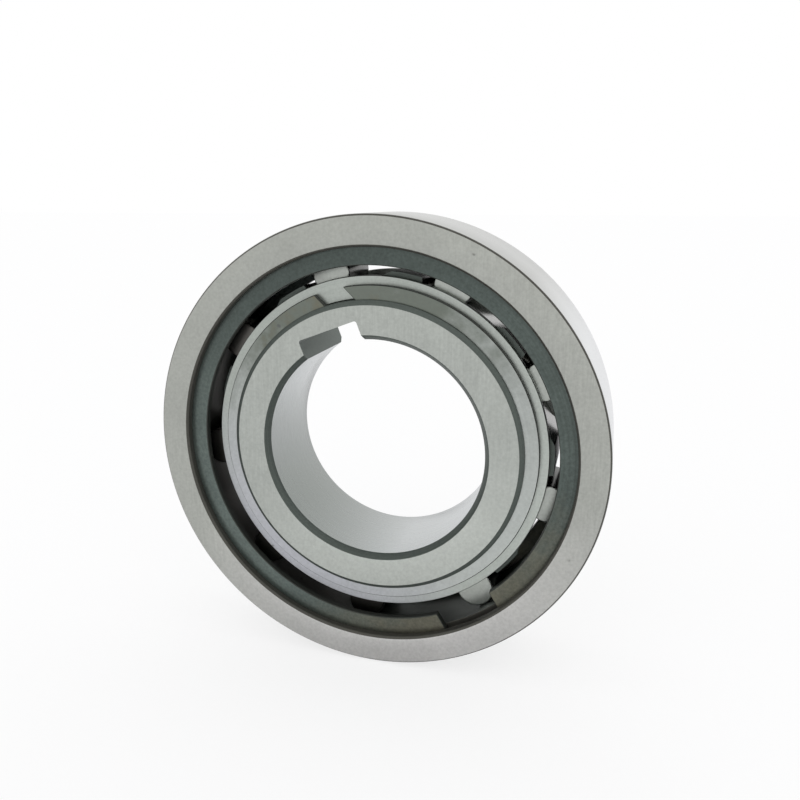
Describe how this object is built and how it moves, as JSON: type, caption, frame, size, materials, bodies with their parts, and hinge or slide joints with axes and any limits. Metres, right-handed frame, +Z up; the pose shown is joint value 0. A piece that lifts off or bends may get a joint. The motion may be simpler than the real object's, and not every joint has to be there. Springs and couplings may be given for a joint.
{
  "type": "roller one-way clutch",
  "caption": "One-way clutch: a keyed inner ring with ramps, spring-loaded clamping rollers, side washers and snap rings inside a plain outer ring.",
  "frame": {"origin": "on the clutch's axis, halfway between the faces of the inner ring", "axes": "+Y runs along the axis from the front face to the back, +Z is up with the clutch standing on its rim, +X is to the right seen from the front"},
  "size_m": [0.072, 0.0184, 0.072],
  "materials": {
    "ground_ring_steel": "fine ground bearing steel",
    "washer_steel": "stamped bright steel with light marks",
    "hub_snap_ring_steel": "spring steel, grey",
    "rim_snap_ring_steel": "phosphated spring steel, dark blue-grey",
    "roller_steel": "polished bearing steel",
    "plunger_steel": "turned steel",
    "spring_wire": "drawn spring wire"
  },
  "bodies": {
    "shaft_side": {"inner_ring": "ground_ring_steel", "front_side_washer": "washer_steel", "rear_side_washer": "washer_steel", "front_hub_snap_ring": "hub_snap_ring_steel", "rear_hub_snap_ring": "hub_snap_ring_steel", "roller_spring_1": "spring_wire", "roller_spring_2": "spring_wire", "roller_spring_3": "spring_wire", "roller_spring_4": "spring_wire", "roller_spring_5": "spring_wire", "roller_spring_6": "spring_wire", "roller_spring_7": "spring_wire", "roller_spring_8": "spring_wire", "roller_spring_9": "spring_wire"},
    "housing_side": {"outer_ring": "ground_ring_steel", "front_rim_snap_ring": "rim_snap_ring_steel", "rear_rim_snap_ring": "rim_snap_ring_steel"},
    "clamping_roller_1": {"clamping_roller_1": "roller_steel"},
    "roller_plunger_1": {"roller_plunger_1": "plunger_steel"},
    "clamping_roller_2": {"clamping_roller_2": "roller_steel"},
    "roller_plunger_2": {"roller_plunger_2": "plunger_steel"},
    "clamping_roller_3": {"clamping_roller_3": "roller_steel"},
    "roller_plunger_3": {"roller_plunger_3": "plunger_steel"},
    "clamping_roller_4": {"clamping_roller_4": "roller_steel"},
    "roller_plunger_4": {"roller_plunger_4": "plunger_steel"},
    "clamping_roller_5": {"clamping_roller_5": "roller_steel"},
    "roller_plunger_5": {"roller_plunger_5": "plunger_steel"},
    "clamping_roller_6": {"clamping_roller_6": "roller_steel"},
    "roller_plunger_6": {"roller_plunger_6": "plunger_steel"},
    "clamping_roller_7": {"clamping_roller_7": "roller_steel"},
    "roller_plunger_7": {"roller_plunger_7": "plunger_steel"},
    "clamping_roller_8": {"clamping_roller_8": "roller_steel"},
    "roller_plunger_8": {"roller_plunger_8": "plunger_steel"},
    "clamping_roller_9": {"clamping_roller_9": "roller_steel"},
    "roller_plunger_9": {"roller_plunger_9": "plunger_steel"}
  },
  "joints": [
    {"name": "outer_ring_spin", "type": "hinge", "parent": "shaft_side", "child": "housing_side", "pos_m": [0, 0, 0], "axis": [0, -1, 0], "continuous": true},
    {"name": "roller_1_slide", "type": "slide", "parent": "shaft_side", "child": "clamping_roller_1", "axis": [-0.5225, 0, 0.8526], "range_m": [0, 0.001], "stiffness_N_per_m": 300, "springref_m": -0.004},
    {"name": "plunger_1_slide", "type": "slide", "parent": "shaft_side", "child": "roller_plunger_1", "axis": [-0.8018, 0, 0.5976], "range_m": [0, 0.00094], "deforming": ["roller_spring_1"]},
    {"name": "roller_2_slide", "type": "slide", "parent": "shaft_side", "child": "clamping_roller_2", "axis": [-0.9483, 0, 0.3173], "range_m": [0, 0.001], "stiffness_N_per_m": 300, "springref_m": -0.004},
    {"name": "plunger_2_slide", "type": "slide", "parent": "shaft_side", "child": "roller_plunger_2", "axis": [-0.9983, 0, -0.0576], "range_m": [0, 0.00094], "deforming": ["roller_spring_2"]},
    {"name": "roller_3_slide", "type": "slide", "parent": "shaft_side", "child": "clamping_roller_3", "axis": [-0.9304, 0, -0.3665], "range_m": [0, 0.001], "stiffness_N_per_m": 300, "springref_m": -0.004},
    {"name": "plunger_3_slide", "type": "slide", "parent": "shaft_side", "child": "roller_plunger_3", "axis": [-0.7278, 0, -0.6858], "range_m": [0, 0.00094], "deforming": ["roller_spring_3"]},
    {"name": "roller_4_slide", "type": "slide", "parent": "shaft_side", "child": "clamping_roller_4", "axis": [-0.4772, 0, -0.8788], "range_m": [0, 0.001], "stiffness_N_per_m": 300, "springref_m": -0.004},
    {"name": "plunger_4_slide", "type": "slide", "parent": "shaft_side", "child": "roller_plunger_4", "axis": [-0.1167, 0, -0.9932], "range_m": [0, 0.00094], "deforming": ["roller_spring_4"]},
    {"name": "roller_5_slide", "type": "slide", "parent": "shaft_side", "child": "clamping_roller_5", "axis": [0.1994, 0, -0.9799], "range_m": [0, 0.001], "stiffness_N_per_m": 300, "springref_m": -0.004},
    {"name": "plunger_5_slide", "type": "slide", "parent": "shaft_side", "child": "roller_plunger_5", "axis": [0.549, 0, -0.8358], "range_m": [0, 0.00094], "deforming": ["roller_spring_5"]},
    {"name": "roller_6_slide", "type": "slide", "parent": "shaft_side", "child": "clamping_roller_6", "axis": [0.7826, 0, -0.6225], "range_m": [0, 0.001], "stiffness_N_per_m": 300, "springref_m": -0.004},
    {"name": "plunger_6_slide", "type": "slide", "parent": "shaft_side", "child": "roller_plunger_6", "axis": [0.9578, 0, -0.2874], "range_m": [0, 0.00094], "deforming": ["roller_spring_6"]},
    {"name": "roller_7_slide", "type": "slide", "parent": "shaft_side", "child": "clamping_roller_7", "axis": [0.9997, 0, 0.0262], "range_m": [0, 0.001], "stiffness_N_per_m": 300, "springref_m": -0.004},
    {"name": "plunger_7_slide", "type": "slide", "parent": "shaft_side", "child": "roller_plunger_7", "axis": [0.9184, 0, 0.3955], "range_m": [0, 0.00094], "deforming": ["roller_spring_7"]},
    {"name": "roller_8_slide", "type": "slide", "parent": "shaft_side", "child": "clamping_roller_8", "axis": [0.749, 0, 0.6626], "range_m": [0, 0.001], "stiffness_N_per_m": 300, "springref_m": -0.004},
    {"name": "plunger_8_slide", "type": "slide", "parent": "shaft_side", "child": "roller_plunger_8", "axis": [0.4493, 0, 0.8934], "range_m": [0, 0.00094], "deforming": ["roller_spring_8"]},
    {"name": "roller_9_slide", "type": "slide", "parent": "shaft_side", "child": "clamping_roller_9", "axis": [0.1478, 0, 0.989], "range_m": [0, 0.001], "stiffness_N_per_m": 300, "springref_m": -0.004},
    {"name": "plunger_9_slide", "type": "slide", "parent": "shaft_side", "child": "roller_plunger_9", "axis": [-0.23, 0, 0.9732], "range_m": [0, 0.00094], "deforming": ["roller_spring_9"]}
  ],
  "couplings": [
    {"joint": "plunger_1_slide", "follows": "roller_1_slide", "ratio": 0.9285},
    {"joint": "plunger_2_slide", "follows": "roller_2_slide", "ratio": 0.9285},
    {"joint": "plunger_3_slide", "follows": "roller_3_slide", "ratio": 0.9285},
    {"joint": "plunger_4_slide", "follows": "roller_4_slide", "ratio": 0.9285},
    {"joint": "plunger_5_slide", "follows": "roller_5_slide", "ratio": 0.9285},
    {"joint": "plunger_6_slide", "follows": "roller_6_slide", "ratio": 0.9285},
    {"joint": "plunger_7_slide", "follows": "roller_7_slide", "ratio": 0.9285},
    {"joint": "plunger_8_slide", "follows": "roller_8_slide", "ratio": 0.9285},
    {"joint": "plunger_9_slide", "follows": "roller_9_slide", "ratio": 0.9285}
  ]
}
